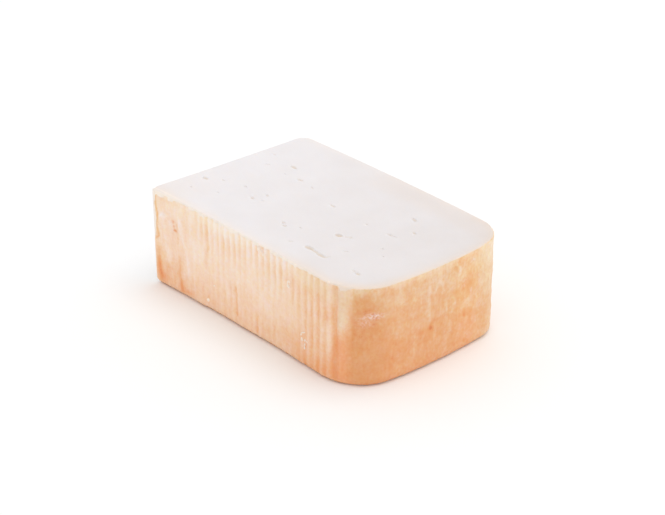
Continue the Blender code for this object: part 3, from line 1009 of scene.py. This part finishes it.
crust, crust_in, crust_out = new_group("rind colour", RIND_MAPS, "Colour", "Color")
place = own_place(crust)
upright = new_node(crust, "Mapping", {"Vector": place, "Scale": (1.0, 1.0, DRAWN_OUT)}).outputs[0]
uneven = 0.0
for direction, size, strength in (
    (place, 0.9 * MM, 0.36),
    (place, 3.0 * MM, 0.24),
    (upright, 1.0 * MM, 0.24),
):
    uneven = math_node(crust, "ADD", uneven, waver(crust, direction, size, strength))
# The ripeness map carries painted shade along the foot as well as the rind's own ripening.
stain_and_shade = math_node(crust, "MULTIPLY_ADD", uneven, UNEVEN_RIPENESS, crust_in["Ripeness_and_shade"])
yellow = math_node(crust, "MULTIPLY_ADD", uneven, UNEVEN_AMBER, crust_in["Amber"])
yellow = math_node(crust, "ADD", yellow, waver(crust, place, OTHER_SIZE, OTHER_AMBER))
ramp = new_node(crust, "ValToRGB", {"Fac": stain_and_shade})
for number, (position, colour) in enumerate(RIND_COLOURS):
    stops = ramp.color_ramp.elements
    stop = stops[number] if number < 2 else stops.new(position)
    stop.position = position
    stop.color = (*colour, 1.0)
tint = mix(crust, yellow, PINK_TINT, AMBER_TINT)
colour = mix(crust, 1.0, ramp.outputs["Color"], tint, "MULTIPLY")
# Gold: the heel's more golden tone, partly painted shade.
colour = mix(crust, crust_in["Gold_and_shade"], colour, GOLD_AND_SHADE_TINT, "MULTIPLY")
flecks = range_node(crust, noise_node(crust, place, FLECK_SIZE), *FLECK_RANGE)
flecks = math_node(crust, "MULTIPLY_ADD", flecks, FLECKS, BETWEEN_FLECKS)
share = math_node(crust, "MULTIPLY", crust_in["Bloom"], flecks)
colour = mix(crust, share, colour, BLOOM_COLOUR)
set_inputs(crust_out, {"Colour": colour})
print("the rind has", len(RIND_COLOURS), "colours")

# %% The fine grain
GRAIN_SIZES = {"Coarse": 1.2 * MM, "Fine": 0.4 * MM}
GRAIN_DEPTH = 0.2 * MM

grain, grain_in, grain_out = new_group("fine grain", GRAIN_SIZES, "Normal", "Vector")
place = own_place(grain)
height = 0.0
for name, size in GRAIN_SIZES.items():
    part = math_node(grain, "MULTIPLY", noise_node(grain, place, size), grain_in[name])
    height = math_node(grain, "ADD", height, part)
bump = new_node(grain, "Bump", {"Strength": 1.0, "Distance": GRAIN_DEPTH, "Height": height})
set_inputs(grain_out, {"Normal": bump.outputs[0]})
print("the grain is at most", round(GRAIN_DEPTH / MM, 2), "mm deep")

# %% [markdown]
# ## The cheese's material
#
# Light goes a little way into cheese, so both finishes let some of it scatter under the
# surface. That softens the ribs and fills the openings with warm light. Greasy rind shines
# a little more than dry paste.

# %% Make the cheese's material
SHINE = 0.3
SCATTER, SCATTER_COLOURS = 0.2, (1.0, 0.85, 0.7)
CHEESE_REACH, CRUMB_REACH = 0.6 * MM, 0.2 * MM
BORDER, RAGGED_SIZE, RAGGED = (0.3, 0.7), 0.8 * MM, 0.5  # where paste turns into rind
PASTE_ROUGHNESS, RIND_ROUGHNESS = 0.62, 0.50
PASTE_GRAIN, RIND_GRAIN, FINE_STRENGTH = 0.12, 1.02, 0.25


def use_group(tree, group, values):
    """Places a group and sets its inputs. Returns its result."""
    made = new_node(tree, "Group", node_tree=group)
    set_inputs(made, values)
    return made.outputs[0]


def painted(tree, name):
    """Reads a painted map from the mesh."""
    return new_node(tree, "Attribute", attribute_name=name.lower()).outputs["Fac"]


def scattering(reach):
    """Inputs that let light scatter this far under the surface."""
    return {
        "Subsurface Weight": SCATTER,
        "Subsurface Radius": SCATTER_COLOURS,
        "Subsurface Scale": reach,
    }


shader = give_material(cheese, "washed rind and paste", SHINE, PASTE_ROUGHNESS)
tree = shader.id_data
border = waver(tree, own_place(tree), RAGGED_SIZE, RAGGED)
border = math_node(tree, "ADD", painted(tree, "Rind"), border)
is_rind = range_node(tree, border, *BORDER, "SMOOTHSTEP")
paste_colour, rind_colour = (
    use_group(tree, group, {name: painted(tree, name) for name in names})
    for group, names in ((paste, PASTE_MAPS), (crust, RIND_MAPS))
)
coarse = between(tree, is_rind, PASTE_GRAIN, RIND_GRAIN)
set_inputs(shader, {
    "Base Color": mix(tree, is_rind, paste_colour, rind_colour),
    "Roughness": between(tree, is_rind, PASTE_ROUGHNESS, RIND_ROUGHNESS),
    "Normal": use_group(tree, grain, {"Coarse": coarse, "Fine": FINE_STRENGTH}),
    **scattering(CHEESE_REACH),
})
print("the cheese's material has", len(tree.nodes), "nodes")

# %% [markdown]
# ## The crumbs
#
# The knife left a few crumbs of paste on the near side, some of them strung in curls. Each
# is a small ball, squashed and roughened, set half into the rind at the nearest point of the
# skin. They use the paste's colour, a little stained by the rind.

# %% Model the crumbs
# Along, down, length, height, turn in degrees.
CRUMBS = [
    (27.6, 31.6, 1.2, 1.3, 0), (31.5, 24.6, 0.9, 0.5, 40), (61, 1.4, 1.2, 0.5, 10),
    (74.6, 0.7, 1.5, 0.7, 12), (88.2, 0.4, 1.3, 0.9, 12),
]
# Curls: along, down, half width, half height, from and to in degrees, how many crumbs.
CURLS = (
    (57.2, 0.4, 3, 2.9, 195, 268, 5), (69, 8.4, 0.75, 1.3, 160, 385, 5),
    (76.5, 24.4, 0.9, 1.5, 100, 235, 3), (77.6, 27.2, 0.9, 1.6, 70, 230, 4),
    (55.4, 1.9, 1.4, 1.3, 130, 200, 3),
)
CRUMB_SEED = 8
CRUMB_LENGTHS, CRUMB_HEIGHTS = (0.9, 1.7), (0.45, 0.75)  # mm, in the curls
CRUMB_THICKNESS, CRUMB_ROUGHNESS, CRUMB_DIMPLES = 0.55 * MM, 0.35 * MM, 0.9 * MM
OFF_LINE, OFF_TURN = (0.8, 1.1), 25  # how far a crumb strays from its curl and its turn

draw = random.Random(CRUMB_SEED)
for x, fall, half_width, half_height, start, end, count in CURLS:
    for number in range(count):
        angle = math.radians(start + (end - start) * number / (count - 1))
        run, rise = half_width * math.cos(angle), half_height * math.sin(angle)
        turned = math.atan2(half_height * math.cos(angle), -half_width * math.sin(angle))
        turned = math.degrees(turned) + draw.uniform(-OFF_TURN, OFF_TURN)
        reach = draw.uniform(*OFF_LINE)
        size = draw.uniform(*CRUMB_LENGTHS), draw.uniform(*CRUMB_HEIGHTS)
        CRUMBS.append((x + reach * run, fall - reach * rise, *size, turned))

along, across, down = read_points()
facing = read(cheese.data.vertex_normals, "vector").T
crumbs = []
for x, fall, length, height, turn in CRUMBS:
    gap = np.hypot(along - x, down - fall)
    gap[across > WIDTH / MM / 2] = np.inf  # only the near side counts
    nearest = int(np.argmin(gap))
    bpy.ops.mesh.primitive_ico_sphere_add(subdivisions=4, radius=0.5)
    crumb = bpy.context.object
    shape = Matrix.Diagonal((length * MM, height * MM, CRUMB_THICKNESS, 1.0))
    upright = Matrix.Rotation(math.radians(turn), 4, "Z")
    outwards = Vector(facing[nearest]).to_track_quat("Z", "Y").to_matrix().to_4x4()
    place = Matrix.Translation(cheese.data.vertices[nearest].co)
    crumb.data.transform(place @ outwards @ upright @ shape)
    dimples = cloud_texture("crumb", CRUMB_DIMPLES)
    apply_modifier(crumb, "DISPLACE", strength=CRUMB_ROUGHNESS, texture=dimples)
    crumbs.append(crumb)
crumbs = join(crumbs)
crumbs.name = "paste_crumbs"
bpy.ops.object.shade_smooth()
keep_inside(crumbs)
print("there are", len(CRUMBS), "crumbs")

# %% Colour the crumbs
CRUMB_STAIN, CRUMB_WARMTH, CRUMB_FINISH = 0.18, 0.88, 0.6
CRUMB_STAIN_COLOUR = RIND_COLOURS[2][1]

shader = give_material(crumbs, "paste crumbs", SHINE, CRUMB_FINISH)
tree = shader.id_data
crumb_colour = use_group(tree, paste, {"Warm": CRUMB_WARMTH})
stained = mix(tree, CRUMB_STAIN, crumb_colour, CRUMB_STAIN_COLOUR)
set_inputs(shader, {"Base Color": stained, **scattering(CRUMB_REACH)})
print("the crumbs' material has", len(tree.nodes), "nodes")

# %% [markdown]
# ## Hand over
#
# The finished piece rides on the solid's one body and stands for its one node.

# %% Tie the pieces to the solid
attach(cheese, "root")
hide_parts("taleggio")
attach(crumbs, "root")
